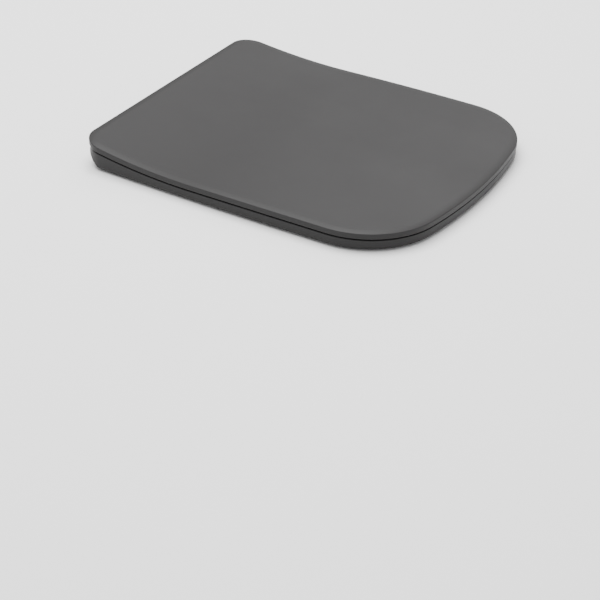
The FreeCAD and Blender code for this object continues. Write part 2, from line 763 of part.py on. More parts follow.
def make_damper_case(name, side):
    """A cup that opens outwards: its bore starts beyond the floor."""
    outer = "stations.barrel_bore - sizes.running_fit"
    inner = f"{outer} - sizes.damper_wall"
    floor = "stations.damper_start + sizes.damper_floor"
    ends = ("stations.damper_start", "stations.damper_end")
    finished(tube_piece(f"damper_case_{name}", side, outer, inner, *ends, bore_near=floor))


def make_damper_cap(name, side):
    """The ring that closes a damper, with a seat for its seal on the outer face."""
    label = f"damper_cap_{name}"
    outer = "stations.barrel_bore - sizes.damper_wall - 2 * sizes.running_fit"
    inner = "sizes.shaft_radius + sizes.running_fit"
    seat = "sizes.shaft_radius + 3 * sizes.running_fit + 2 * sizes.seal_radius"
    near = "stations.damper_end - sizes.damper_cap_thickness"
    seat_near = "stations.damper_end - 2 * sizes.seal_radius"
    far = "stations.damper_end"
    blank = hinge_bar(f"{label}_blank", outer, *span(side, near, far))
    bore = hinge_bar(f"{label}_bore", inner, *span(side, near, far))
    recess = hinge_bar(f"{label}_recess", seat, *span(side, seat_near, far))
    finished(carved(label, blank, bore, recess))


def make_seal(name, side):
    expressions = {
        "Radius1": "sizes.shaft_radius + 2 * sizes.running_fit + sizes.seal_radius",
        "Radius2": "sizes.seal_radius",
        "Placement.Base.x": f"{side} * (stations.damper_end - sizes.seal_radius)",
        "Placement.Base.y": "stations.hinge_y",
        "Placement.Base.z": "stations.hinge_z",
    }
    finished(bound("Part::Torus", f"shaft_seal_{name}", ALONG_X, expressions))


def make_shaft(label, side, key_near, key_far):
    """A damper's rotor and its shaft, with two flats on the stretch that drives its part."""
    start = "stations.damper_start + sizes.damper_floor + sizes.rotor_clearance"
    rotor_far = "stations.damper_end - sizes.damper_cap_thickness - sizes.rotor_clearance"
    rotor_radius = (
        "stations.barrel_bore - sizes.running_fit - sizes.damper_wall - sizes.rotor_clearance"
    )
    key_span = span(side, key_near, key_far)
    y_span = ("stations.hinge_y - sizes.shaft_radius", "stations.hinge_y + sizes.shaft_radius")
    z_span = ("stations.hinge_z - sizes.shaft_flats / 2", "stations.hinge_z + sizes.shaft_flats / 2")
    key_round = hinge_bar(f"{label}_key_round", "sizes.shaft_radius", *key_span)
    key_flats = cuboid(f"{label}_key_flats", key_span, y_span, z_span)
    parts = [
        hinge_bar(f"{label}_rotor", rotor_radius, *span(side, start, rotor_far)),
        hinge_bar(f"{label}_neck", "sizes.shaft_radius", *span(side, start, key_near)),
        overlap_of(f"{label}_key", key_round, key_flats),
    ]
    if key_far != "stations.shaft_end":
        tail = span(side, key_far, "stations.shaft_end")
        parts.append(hinge_bar(f"{label}_tail", "sizes.shaft_radius", *tail))
    finished(joined(label, *parts))


def make_bush(label, side, near, far):
    outer = "sizes.shaft_radius + sizes.bush_wall"
    inner = "sizes.shaft_radius + sizes.running_fit"
    finished(tube_piece(label, side, outer, inner, near, far))


# ---------------------------------------------------------------- the pieces

add("lid_panel", make_lid())
add("seat_ring", make_seat())
FRONT_BUFFER = "-sizes.lid_length / 2 + sizes.buffer_front_margin"
REAR_BUFFER = "sizes.lid_length / 2 - sizes.buffer_rear_margin"
FRONT_PAD = "-sizes.lid_length / 2 + sizes.pad_front_margin"
REAR_PAD = "sizes.lid_length / 2 - sizes.pad_rear_margin"
BUFFER_Y = {"front": buffer_places()[0][1], "rear": buffer_places()[-1][1]}
for end_name, buffer_y, pad_y in (("front", FRONT_BUFFER, FRONT_PAD), ("rear", REAR_BUFFER, REAR_PAD)):
    for side_name, side in SIDES:
        make_buffer(f"lid_buffer_{end_name}_{side_name}", side, buffer_y, BUFFER_Y[end_name])
        make_pad(f"seat_pad_{end_name}_{side_name}", side, pad_y)
make_barrel()
for side_name, side in SIDES:
    make_end_cap(side_name, side)
    make_damper_case(side_name, side)
    make_damper_cap(side_name, side)
    make_seal(side_name, side)
    make_socket(side_name, side)
    add(f"latch_plate_{side_name}", make_latch(side))
make_shaft("seat_shaft", -1, "stations.seat_lug_start", "stations.shaft_end")
make_shaft("lid_shaft", 1, "stations.lid_lug_start", "stations.lid_lug_end")
make_bush("lid_bush", -1, "stations.lid_lug_start", "stations.lid_lug_end")
make_bush("seat_bush", 1, "stations.seat_lug_start", "stations.shaft_end")
add("release_button", make_button())
add("button_spring", make_button_spring())

doc.recompute()
for item in doc.Objects:
    if "Invalid" in item.State or "Error" in item.State:
        raise RuntimeError(f"{item.Label} failed to compute")
for piece in subparts:
    if piece.Shape.isNull() or not piece.Shape.isValid():
        raise RuntimeError(f"{piece.Label} has no valid shape")

os.makedirs("parts", exist_ok=True)
for piece in subparts:
    piece.Shape.exportStep(os.path.join("parts", f"{piece.Label}.step"))
    print(piece.Label, len(piece.Shape.Solids), round(piece.Shape.Volume, 1))
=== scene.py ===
import json
import math

import bmesh
import bpy
import numpy as np
from mathutils import Matrix, Vector


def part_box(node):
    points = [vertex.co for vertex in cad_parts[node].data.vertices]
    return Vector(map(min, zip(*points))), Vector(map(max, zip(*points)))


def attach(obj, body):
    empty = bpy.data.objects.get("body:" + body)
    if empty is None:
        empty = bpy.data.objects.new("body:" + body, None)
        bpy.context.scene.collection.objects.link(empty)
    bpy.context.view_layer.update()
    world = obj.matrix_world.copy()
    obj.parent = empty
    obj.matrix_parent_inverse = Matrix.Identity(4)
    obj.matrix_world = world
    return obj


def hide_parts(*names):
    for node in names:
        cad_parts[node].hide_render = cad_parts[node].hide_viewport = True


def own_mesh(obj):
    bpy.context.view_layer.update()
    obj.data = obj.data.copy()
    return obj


# A slim toilet seat with a lid. The hinge barrel is the part that stands still; the ring rides on
# "seat" and the lid on "lid". The pieces are worked out in millimetres, and MM turns them into
# metres. The floor, the lamps and the camera are placed in metres.

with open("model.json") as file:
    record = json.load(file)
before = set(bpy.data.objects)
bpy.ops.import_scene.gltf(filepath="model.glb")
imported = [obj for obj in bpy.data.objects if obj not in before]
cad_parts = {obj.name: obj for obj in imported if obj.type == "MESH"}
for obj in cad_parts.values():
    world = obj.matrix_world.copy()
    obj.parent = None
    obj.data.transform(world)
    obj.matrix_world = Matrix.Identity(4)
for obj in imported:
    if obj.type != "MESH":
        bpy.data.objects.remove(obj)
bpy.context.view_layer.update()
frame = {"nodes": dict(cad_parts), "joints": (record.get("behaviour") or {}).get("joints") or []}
MM = 0.001


def box_mm(node):
    """A node's lowest and highest corners in millimetres."""
    return [np.array(corner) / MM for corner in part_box(node)]


LID_LOW, LID_HIGH = box_mm("lid_panel")
BARREL_LOW, BARREL_HIGH = box_mm("hinge_barrel")
HINGE = (BARREL_LOW + BARREL_HIGH) / 2
HINGE[2] = BARREL_HIGH[2] - (BARREL_HIGH[1] - BARREL_LOW[1]) / 2
HINGE_Y, HINGE_Z = HINGE[1], HINGE[2]
BARREL_RADIUS = (BARREL_HIGH[1] - BARREL_LOW[1]) / 2
BARREL_END = BARREL_HIGH[0]

# ---------------------------------------------------------------- driving sizes

LID_PLAN = {
    "half_width": LID_HIGH[0],
    "front_y": LID_LOW[1],
    "rear_y": LID_HIGH[1],
    "widest_y": -17.4,
    "side_radius": 5800.0,
    "front_radius": 615.0,
    "rear_radius": 1e6,
    "front_corner": 95.5,
    "rear_corner": 29.0,
}
OPENING_PLAN = {
    "half_width": 118.0,
    "front_y": LID_LOW[1] + 58.0,
    "rear_y": LID_HIGH[1] - 66.5,
    "widest_y": -17.4,
    "side_radius": 490.0,
    "front_radius": 232.0,
    "rear_radius": 199.0,
    "front_corner": 57.0,
    "rear_corner": 84.0,
}

CROWN_Y, CROWN_TOP, CROWN_RADIUS = -74.0, 24.64, 11470.0
SWEEP_START, SWEEP_RADIUS = 61.0, 836.0

LID_BAND = 8.3
LID_PLATE = 5.0
LID_WALL = 3.0
LID_EDGE = 1.1
LID_LOW_EDGE = 0.55
LID_INNER_EDGE = 0.5
LID_INNER_ROOT = 2.2
# the top rolls down over this width, by this depth, and meets the edge's arc at this angle
ROLL_WIDTH = 10.0
ROLL_DEPTH = 2.0
ROLL_SLOPE = 20.0
PLATE_MARGIN = 14.0
# weights of the painted highlight, a lighter colour with lower roughness, on the lid's top edge and on the
# ring's lip
LID_TOP_HIGHLIGHT = 0.35
LIP_HIGHLIGHT = 0.6
# both the lid's plate and the ring's sections fan out round this point on the middle line
FAN_Y = -10.0
PARTING_GAP = 1.8
SEAT_DROP = LID_BAND + PARTING_GAP
SEAT_INSET = 0.6
RIM_Z = 1.6
LUG_RADIUS = 11.8
JOINT_GAP = 0.4
LID_LUG_WIDTH = 13.4
WEB_REACH = 8.0
LUG_SOFT = 0.7
TONGUE_REACH = 5.2
BARREL_GAP = 2.0
LID_LUG_START = BARREL_END + JOINT_GAP
LID_LUG_END = LID_LUG_START + LID_LUG_WIDTH
SEAT_LUG_START = LID_LUG_END + JOINT_GAP
TONGUE_Y = HINGE_Y - TONGUE_REACH
BARREL_CLEAR = BARREL_RADIUS + BARREL_GAP
LUG_CLEAR = LUG_RADIUS + JOINT_GAP

# ---------------------------------------------------------------- small helpers


def smoothstep(value, low, high):
    """0 below low, 1 above high, and the cubic 3t^2 - 2t^3 between."""
    t = np.clip((value - low) / (high - low), 0, 1)
    return t * t * (3 - 2 * t)


def smooth_max(a, b, softness):
    """The larger of two, rounded where they cross: the mean plus half the hypotenuse."""
    return (a + b + np.sqrt((a - b) ** 2 + softness**2)) / 2


def quarter(count, start=0.0, end=90.0):
    """Angles in radians, evenly from start to end degrees."""
    return np.radians(np.linspace(start, end, count))


def top_height(y, drop=0.0):
    """Height of the curve that lies drop below the lid's top: a wide crown arc in front, and
    behind SWEEP_START an upturned arc that is tangent to it."""
    y = np.asarray(y, float)
    crown_z = CROWN_TOP - CROWN_RADIUS
    across = SWEEP_START - CROWN_Y
    along = np.array([across, math.sqrt(CROWN_RADIUS**2 - across**2)]) / CROWN_RADIUS
    join_y = CROWN_Y + along[0] * (CROWN_RADIUS - drop)
    sweep_y = CROWN_Y + along[0] * (CROWN_RADIUS + SWEEP_RADIUS)
    sweep_z = crown_z + along[1] * (CROWN_RADIUS + SWEEP_RADIUS)
    crown = crown_z + np.sqrt((CROWN_RADIUS - drop) ** 2 - (y - CROWN_Y) ** 2)
    sweep = sweep_z - np.sqrt((SWEEP_RADIUS + drop) ** 2 - (y - sweep_y) ** 2)
    return np.where(y < join_y, crown, sweep)


# ---------------------------------------------------------------- outlines in plan


def circles_meet(centre_a, reach_a, centre_b, reach_b):
    """Where two circles meet, on the side with the larger X."""
    span = centre_b - centre_a
    distance = np.hypot(*span)
    along = (reach_a**2 - reach_b**2 + distance**2) / (2 * distance)
    across = math.sqrt(reach_a**2 - along**2)
    unit = span / distance
    normal = np.array([-unit[1], unit[0]])
    foot = centre_a + unit * along
    return max((foot + normal * across, foot - normal * across), key=lambda point: point[0])


def half_outline(plan, counts, inset=0.0):
    """Points and outward normals along the +X half of a D-shaped plan, from the middle of the
    rear to the middle of the front: five tangent arcs, each sampled evenly by angle."""
    side_centre = np.array([plan["half_width"] - plan["side_radius"], plan["widest_y"]])
    front_centre = np.array([0.0, plan["front_y"] + plan["front_radius"]])
    rear_centre = np.array([0.0, plan["rear_y"] - plan["rear_radius"]])
    side, front, rear = plan["side_radius"], plan["front_radius"], plan["rear_radius"]
    front_corner, rear_corner = plan["front_corner"], plan["rear_corner"]
    front_turn = circles_meet(side_centre, side - front_corner, front_centre, front - front_corner)
    rear_turn = circles_meet(side_centre, side - rear_corner, rear_centre, rear - rear_corner)

    def bearing(centre, point):
        return math.atan2(point[1] - centre[1], point[0] - centre[0])

    to_rear_corner = bearing(rear_centre, rear_turn)
    to_side_rear = bearing(side_centre, rear_turn)
    to_side_front = bearing(side_centre, front_turn)
    to_front_corner = bearing(front_centre, front_turn)
    stretches = (
        (rear_centre, rear, math.pi / 2, to_rear_corner),
        (rear_turn, rear_corner, to_rear_corner, to_side_rear),
        (side_centre, side, to_side_rear, to_side_front),
        (front_turn, front_corner, to_side_front, to_front_corner),
        (front_centre, front, to_front_corner, -math.pi / 2),
    )
    points, normals = [], []
    for (centre, radius, start, end), count in zip(stretches, counts):
        angles = np.linspace(start, end, count, endpoint=False)
        unit = np.stack([np.cos(angles), np.sin(angles)], 1)
        points.append(centre + unit * (radius - inset))
        normals.append(unit)
    points.append(np.array([[0.0, plan["front_y"] + inset]]))
    normals.append(np.array([[0.0, -1.0]]))
    return np.concatenate(points), np.concatenate(normals)


def whole_loop(half):
    """A half loop and its mirror image in X, as one closed loop of the same values."""
    flip = np.ones(half.shape[1:])
    flip[..., 0] = -1
    return np.concatenate([half, (half * flip)[-2:0:-1]])


# ---------------------------------------------------------------- meshes


def mesh_object(name, sheets, material, sharp=38.0):
    """One object from closed sheets of points. A sheet is (points, loop_rows, highlight): its points lie
    on a grid whose columns close on themselves; its rows close too when loop_rows is true, and
    otherwise its first and last rows are poles. The third item, from 0 to 1, marks edges that get a
    painted highlight, a lighter colour with lower roughness, and is spread over the grid."""
    vertices, faces, painted_highlights = [], [], []
    base = 0
    for points, loop_rows, painted_highlight in sheets:
        rows, columns = points.shape[:2]
        index = base + np.arange(rows * columns).reshape(rows, columns)
        here, there = (index, np.roll(index, -1, 0)) if loop_rows else (index[:-1], index[1:])
        quads = np.stack([here, np.roll(here, -1, 1), np.roll(there, -1, 1), there], -1).reshape(-1, 4)
        if signed_volume(points.reshape(-1, 3), quads - base) < 0:
            quads = quads[:, ::-1]
        vertices.append(points.reshape(-1, 3))
        painted_highlights.append(np.broadcast_to(painted_highlight, (rows, columns)).ravel())
        faces.append(quads)
        base += rows * columns
    mesh = bpy.data.meshes.new(name)
    mesh.from_pydata(np.concatenate(vertices) * MM, [], np.concatenate(faces).tolist())
    # the marks for the painted edge highlight, kept as a point attribute that the material reads
    highlight_attribute = mesh.attributes.new("painted_highlight", "FLOAT", "POINT")
    highlight_attribute.data.foreach_set("value", np.concatenate(painted_highlights).astype(np.float32))
    weld(mesh)
    mesh.shade_smooth()
    mesh.set_sharp_from_angle(angle=math.radians(sharp))
    mesh.materials.append(material)
    piece = bpy.data.objects.new(name, mesh)
    bpy.context.scene.collection.objects.link(piece)
    return piece


def signed_volume(points, quads):
    """Six times the volume inside a closed sheet: positive when its faces point outwards."""
    a, b, c, d = (points[quads[:, k]] for k in range(4))
    return (np.einsum("ij,ij->i", a, np.cross(b, c)) + np.einsum("ij,ij->i", a, np.cross(c, d))).sum()


def weld(mesh):
    """Merge points that coincide, as at a pole, and drop the faces that have no area."""
    work = bmesh.new()
    work.from_mesh(mesh)
    bmesh.ops.remove_doubles(work, verts=work.verts, dist=1e-6)
    bmesh.ops.dissolve_degenerate(work, edges=work.edges, dist=1e-6)
    work.to_mesh(mesh)
    work.free()


def on_edges(rows, first, last):
    """A value for each row of the painted edge highlight: 1 in the middle of the span from first to last,
    fading out.
    """
    place = (np.arange(rows) - first) / (last - first)
    return np.where((place > 0) & (place < 1), np.sin(np.pi * np.clip(place, 0, 1)), 0.0)


# ---------------------------------------------------------------- materials


PLASTIC_IOR = 1.48
PLASTIC_SHEEN = 0.23
TONE_PATCH = 0.04
ROUGHNESS_PATCH = 0.04
DUST_SHARE = 0.10
DUST_BRIGHTER = 2.2
GRAIN_DEPTH = 0.0002
# painted highlight on marked edges: their colour this many times lighter, their roughness this much lower
HIGHLIGHT_BRIGHTER = 1.55
EDGE_SMOOTHER = 0.18


def moulded_plastic(name, colour, roughness, grain=0.02, speck=1600.0):
    """Moulded plastic: a fine grain in the bump, slow patches in colour and roughness, a few
    faint dust specks, and on edges marked by a point attribute a painted highlight, a lighter colour, with a
    lower roughness there."""
    material = bpy.data.materials.new(name)
    material.use_nodes = True
    nodes, links = material.node_tree.nodes, material.node_tree.links
    shader = nodes["Principled BSDF"]
    shader.inputs["IOR"].default_value = PLASTIC_IOR
    shader.inputs["Specular IOR Level"].default_value = PLASTIC_SHEEN

    place = nodes.new("ShaderNodeTexCoord")
    mapping = nodes.new("ShaderNodeMapping")
    links.new(place.outputs["Object"], mapping.inputs["Vector"])

    def noise(scale, detail):
        node = nodes.new("ShaderNodeTexNoise")
        node.inputs["Scale"].default_value = scale
        node.inputs["Detail"].default_value = detail
        links.new(mapping.outputs["Vector"], node.inputs["Vector"])
        return node.outputs["Fac"]

    def spread(value, low, high):
        node = nodes.new("ShaderNodeMapRange")
        node.inputs["From Min"].default_value = 0.3
        node.inputs["From Max"].default_value = 0.7
        node.inputs["To Min"].default_value = low
        node.inputs["To Max"].default_value = high
        links.new(value, node.inputs["Value"])
        return node.outputs["Result"]

    slow, fine, dust = noise(9.0, 3.0), noise(speck, 2.0), noise(420.0, 1.0)
    tone = nodes.new("ShaderNodeMix")
    tone.data_type = "RGBA"
    tone.inputs["A"].default_value = (*(value * (1 - TONE_PATCH) for value in colour), 1)
    tone.inputs["B"].default_value = (*(value * (1 + TONE_PATCH) for value in colour), 1)
    links.new(spread(slow, 0.0, 1.0), tone.inputs["Factor"])
    specks = nodes.new("ShaderNodeMapRange")
    specks.inputs["From Min"].default_value = 0.70
    specks.inputs["From Max"].default_value = 0.78
    specks.inputs["To Max"].default_value = DUST_SHARE
    links.new(dust, specks.inputs["Value"])
    dusty = nodes.new("ShaderNodeMix")
    dusty.data_type = "RGBA"
    dusty.inputs["B"].default_value = (*(min(1.0, value * DUST_BRIGHTER) for value in colour), 1)
    links.new(specks.outputs["Result"], dusty.inputs["Factor"])
    links.new(tone.outputs["Result"], dusty.inputs["A"])
    # painted highlight: edges marked by a point attribute get a lighter colour standing in for the light
    # along them, and a lower roughness
    highlight_attribute = nodes.new("ShaderNodeAttribute")
    highlight_attribute.attribute_name = "painted_highlight"
    highlighted = nodes.new("ShaderNodeMix")
    highlighted.data_type = "RGBA"
    highlighted.inputs["B"].default_value = (*(value * HIGHLIGHT_BRIGHTER for value in colour), 1)
    links.new(highlight_attribute.outputs["Fac"], highlighted.inputs["Factor"])
    links.new(dusty.outputs["Result"], highlighted.inputs["A"])
    links.new(highlighted.outputs["Result"], shader.inputs["Base Color"])
    polish = nodes.new("ShaderNodeMath")
    polish.operation = "MULTIPLY_ADD"
    polish.inputs[1].default_value = -EDGE_SMOOTHER
    links.new(highlight_attribute.outputs["Fac"], polish.inputs[0])
    links.new(spread(slow, roughness - ROUGHNESS_PATCH, roughness + ROUGHNESS_PATCH), polish.inputs[2])
    links.new(polish.outputs[0], shader.inputs["Roughness"])
    bump = nodes.new("ShaderNodeBump")
    bump.inputs["Strength"].default_value = grain
    bump.inputs["Distance"].default_value = GRAIN_DEPTH
    links.new(fine, bump.inputs["Height"])
    links.new(bump.outputs["Normal"], shader.inputs["Normal"])
    return material


def turned_steel(name):
    """Bright steel with fine drawn lines along X."""
    material = bpy.data.materials.new(name)
    material.use_nodes = True
    nodes, links = material.node_tree.nodes, material.node_tree.links
    shader = nodes["Principled BSDF"]
    shader.inputs["Metallic"].default_value = 1.0
    shader.inputs["Base Color"].default_value = (0.56, 0.56, 0.55, 1)
    place = nodes.new("ShaderNodeTexCoord")
    mapping = nodes.new("ShaderNodeMapping")
    mapping.inputs["Scale"].default_value = (40.0, 2500.0, 2500.0)
    lines = nodes.new("ShaderNodeTexNoise")
    lines.inputs["Scale"].default_value = 1.0
    spread = nodes.new("ShaderNodeMapRange")
    spread.inputs["To Min"].default_value = 0.22
    spread.inputs["To Max"].default_value = 0.42
    links.new(place.outputs["Object"], mapping.inputs["Vector"])
    links.new(mapping.outputs["Vector"], lines.inputs["Vector"])
    links.new(lines.outputs["Fac"], spread.inputs["Value"])
    links.new(spread.outputs["Result"], shader.inputs["Roughness"])
    return material


LID_FINISH = moulded_plastic("lid_anthracite", (0.0195, 0.0187, 0.0189), 0.50)
SEAT_FINISH = moulded_plastic("seat_anthracite", (0.0195, 0.0188, 0.0189), 0.50)
BARREL_FINISH = moulded_plastic("barrel_satin", (0.033, 0.0322, 0.030), 0.40, grain=0.015)
BUTTON_FINISH = moulded_plastic("button_satin", (0.031, 0.0302, 0.028), 0.44, grain=0.015)
RUBBER_FINISH = moulded_plastic("pad_rubber", (0.019, 0.0185, 0.0185), 0.66, grain=0.05, speck=900.0)
CASE_FINISH = moulded_plastic("damper_plastic", (0.030, 0.030, 0.031), 0.42)
SHAFT_FINISH = moulded_plastic("shaft_plastic", (0.42, 0.41, 0.38), 0.38)
BUSH_FINISH = moulded_plastic("bush_plastic", (0.60, 0.58, 0.52), 0.36)
STEEL_FINISH = turned_steel("drawn_steel")

NODE_FINISHES = (
    (BARREL_FINISH, ("hinge_barrel", "barrel_end_cap_left", "barrel_end_cap_right")),
    (CASE_FINISH, ("pin_socket_left", "pin_socket_right", "damper_case_left", "damper_case_right")),
    (CASE_FINISH, ("damper_cap_left", "damper_cap_right")),
    (RUBBER_FINISH, ("shaft_seal_left", "shaft_seal_right")),
    (SHAFT_FINISH, ("seat_shaft", "lid_shaft")),
    (BUSH_FINISH, ("seat_bush", "lid_bush")),
    (STEEL_FINISH, ("latch_plate_left", "latch_plate_right", "button_spring")),
    (BUTTON_FINISH, ("release_button",)),
)
for finish, names in NODE_FINISHES:
    for name in names:
        for slot in frame["nodes"][name].material_slots:
            slot.material = finish

# ---------------------------------------------------------------- lid


def roll_drop(inset):
    """How far the top has rolled down at a distance in from the outline: depth * (1 - t)^2."""
    return ROLL_DEPTH * max(0.0, 1 - inset / ROLL_WIDTH) ** 2


def make_lid():
    """The lid shell as one closed sheet. Its columns follow the outline; its rows run from the
    middle of the top to the rim, down the band, up the inner wall, and back under the plate. The
    height of every point is top_height at its own y, less the row's drop."""
    half, normals = half_outline(LID_PLAN, (60, 22, 70, 44, 40))
    loop, normals = whole_loop(half), whole_loop(normals)
    centre = np.array([0.0, FAN_Y])
    low_edge, inner_edge, root = LID_LOW_EDGE, LID_INNER_EDGE, LID_INNER_ROOT
    round_top = quarter(8, ROLL_SLOPE)
    round_low = quarter(5)
    top_insets = (PLATE_MARGIN, 11.0, *np.linspace(ROLL_WIDTH, LID_EDGE, 11)[:-1])
    rows = [(inset, roll_drop(inset)) for inset in top_insets]
    edge_drop = roll_drop(LID_EDGE * (1 - math.sin(round_top[0]))) + LID_EDGE * math.cos(round_top[0])
    rows += [(LID_EDGE * (1 - math.sin(a)), edge_drop - LID_EDGE * math.cos(a)) for a in round_top]
    rows += [(0.0, edge_drop + 0.4), (0.0, LID_BAND / 2), (0.0, LID_BAND - low_edge - 0.3)]
    rows += [(low_edge * (1 - math.cos(a)), LID_BAND - low_edge * (1 - math.sin(a))) for a in round_low]
    rows += [
        (LID_WALL - inner_edge * (1 - math.sin(a)), LID_BAND - inner_edge * (1 - math.cos(a)))
        for a in round_low
    ]
    rows += [(LID_WALL + root * (1 - math.cos(a)), LID_PLATE + root * (1 - math.sin(a))) for a in quarter(6)]
    rows += [(LID_WALL + root + 0.5, LID_PLATE), (9.0, LID_PLATE), (PLATE_MARGIN, LID_PLATE)]
    shells = []
    for inset, drop in rows:
        plan = loop - normals * inset
        shells.append(np.column_stack([plan, top_height(plan[:, 1], drop)]))
    rim = loop - normals * PLATE_MARGIN
    scales = np.linspace(0, 1, 34, endpoint=False) ** 0.9
    for scale in scales[::-1]:
        plan = centre + (rim - centre) * scale
        shells.append(np.column_stack([plan, top_height(plan[:, 1], LID_PLATE)]))
        shells.insert(0, np.column_stack([plan, top_height(plan[:, 1], 0.0)]))
    top_start = len(scales) + len(top_insets)
    low_start = top_start + len(round_top) + 3
    # painted highlight: weaker along the top edge's arc, full along the lower edge's arc
    painted_highlight = LID_TOP_HIGHLIGHT * on_edges(len(shells), top_start - 1, top_start + len(round_top))
    painted_highlight = np.maximum(painted_highlight, on_edges(len(shells), low_start - 1, low_start + len(round_low)))
    sheets = [(np.array(shells), False, painted_highlight[:, None])]
    for side in (-1, 1):
        sheets.append((make_lid_lug(side), False, 0.0))
    return mesh_object("lid_shell", sheets, LID_FINISH)


def make_lid_lug(side):
    """The knuckle that hangs from the lid: a circle about the hinge line with a web up to the
    plate, carried along X, drawn in at both ends by a small rounding."""
    web_front, web_rear = HINGE_Y - WEB_REACH, HINGE_Y + LUG_RADIUS - 0.2
    reach = math.asin(WEB_REACH / LUG_RADIUS)
    round_part = np.linspace(math.pi / 2 + reach, 2 * math.pi, 56)
    arc = np.stack([HINGE_Y + LUG_RADIUS * np.cos(round_part), HINGE_Z + LUG_RADIUS * np.sin(round_part)], 1)
    arc[:, 0] = np.minimum(arc[:, 0], web_rear)
    web_top = [top_height(y, LID_PLATE / 2) for y in (web_rear, web_front)]
    rear_rise = np.stack([np.full(6, web_rear), np.linspace(HINGE_Z, web_top[0], 7)[1:]], 1)
    across = np.stack([np.linspace(web_rear, web_front, 8)[1:], np.linspace(*web_top, 8)[1:]], 1)
    front_drop = np.stack([np.full(4, web_front), np.linspace(web_top[1], arc[0, 1], 6)[1:-1]], 1)
    profile = np.concatenate([arc, rear_rise, across, front_drop])
    middle = np.array([HINGE_Y, HINGE_Z])
    ends = [(LUG_SOFT * (1 - math.cos(a)), LUG_SOFT * (1 - math.sin(a))) for a in quarter(5)]
    width = LID_LUG_END - LID_LUG_START
    stations = [(0.0, None), *((along, drawn) for along, drawn in ends)]
    stations += [(width - along, drawn) for along, drawn in reversed(ends)] + [(width, None)]
    sections = []
    for along, drawn in stations:
        scale = 0.0 if drawn is None else 1 - drawn / LUG_RADIUS
        yz = middle + (profile - middle) * scale
        x = side * (LID_LUG_START + along)
        sections.append(np.column_stack([np.full(len(yz), x), yz]))
    return np.array(sections)


# ---------------------------------------------------------------- seat ring

TOP_ROWS, ARC_ROWS, WALL_ROWS, UNDER_ROWS = 9, 16, 4, 9
MIDDLE_ROWS = 14
NOSE_TURN = math.radians(60)
RIM_NOSE = 1.2
RIM_UNDER = 5.0
LUG_UNDER = 45.83
LUG_FALL = 1.5
CORNER_SETBACK = 3.8
DISH_DEPTH = 2.1
LIP_REACH = 12.0
LIP_SOFT = 5.0
BROW = 3.6
OPENING_FALL = 1.2
CHANNEL_SOFT = 0.8
TONGUE_EDGE = 0.7


def edge_profile(reach, top_at, nose, under, rim):
    """Half of a section, from s = reach on the top, round the outer edge, to s = reach underneath.
    nose is (radius, height of the arc's highest point); under is (first radius, second radius):
    the underside turns 60 degrees on the first and 30 on the second, and ends level at rim."""
    radius, crest = nose
    first, second = under
    inward = np.linspace(reach, radius, TOP_ROWS, endpoint=False)
    over_s, over_z = inward, top_at(inward)
    angles = np.linspace(math.pi / 2, 0, ARC_ROWS)
    arc_s = radius * (1 - np.cos(angles))
    arc_z = crest - radius * (1 - np.sin(angles))
    bottom_nose = rim + first * math.sin(NOSE_TURN) + second * (1 - math.sin(NOSE_TURN))
    if abs(bottom_nose - arc_z[-1]) < 1e-6:
        bottom_nose = arc_z[-1]
    wall_z = np.linspace(arc_z[-1], bottom_nose, WALL_ROWS + 2)[1:-1]
    turn = np.linspace(0, NOSE_TURN, ARC_ROWS)
    low_s = first * (1 - np.cos(turn))
    low_z = bottom_nose - first * np.sin(turn)
    out = np.linspace(low_s[-1], reach, UNDER_ROWS + 1)[1:]
    s = np.concatenate([over_s, arc_s, np.zeros(WALL_ROWS), low_s, out])
    z = np.concatenate([over_z, arc_z, wall_z, low_z, under_edge(out, under, rim)])
    return s, z


def under_edge(s, under, rim):
    """Height of the underside between the first arc's end and where it runs level: the second,
    wider arc, sqrt(R^2 - q^2) with q the distance left."""
    first, second = under
    left = np.clip(first * (1 - math.cos(NOSE_TURN)) + second * math.cos(NOSE_TURN) - s, 0, None)
    left = np.minimum(left, second * math.cos(NOSE_TURN))
    return rim + second - np.sqrt(second**2 - left**2)


def channel_profile(reach, top_at, clear, rear_y, rim):
    """Half of a section where the barrel or a knuckle lies behind the ring: the top ends in a
    wall at clear ahead of the hinge line, then follows a hollow of that radius to the tongue."""
    soft, edge = CHANNEL_SOFT, TONGUE_EDGE
    wall_s = rear_y - (HINGE_Y - clear)
    inward = np.linspace(reach, wall_s + soft, TOP_ROWS, endpoint=False)
    over_s, over_z = inward, top_at(inward)
    angles = np.linspace(math.pi / 2, 0, ARC_ROWS)
    arc_s = wall_s + soft * (1 - np.cos(angles))
    crest = top_at(np.array([wall_s]))[0]
    arc_z = crest - soft * (1 - np.sin(angles))
    wall_z = np.linspace(arc_z[-1], HINGE_Z, WALL_ROWS + 2)[1:-1]
    tongue_turn = math.acos((HINGE_Y - TONGUE_Y) / clear)
    turn = np.linspace(0, tongue_turn, ARC_ROWS - 1)
    hollow_s = rear_y - (HINGE_Y - clear * np.cos(turn))
    hollow_z = HINGE_Z - clear * np.sin(turn)
    tongue_s = rear_y - TONGUE_Y
    low_turn = np.linspace(0, math.pi / 2, 4)
    low_s = tongue_s + edge * (1 - np.cos(low_turn))
    low_z = rim + edge * (1 - np.sin(low_turn))
    out = np.linspace(low_s[-1], reach, UNDER_ROWS + 1 - 3)[1:]
    s = np.concatenate([over_s, arc_s, np.full(WALL_ROWS, wall_s), hollow_s, low_s, out])
    z = np.concatenate([over_z, arc_z, wall_z, hollow_z, low_z, np.full(len(out), rim)])
    return s, z


def opening_half():
    """The opening's outline and normals, finely sampled, with each point's bearing."""
    points, normals = half_outline(OPENING_PLAN, (300, 400, 300, 300, 300))
    return points, normals, np.arctan2(points[:, 0], points[:, 1] - FAN_Y)


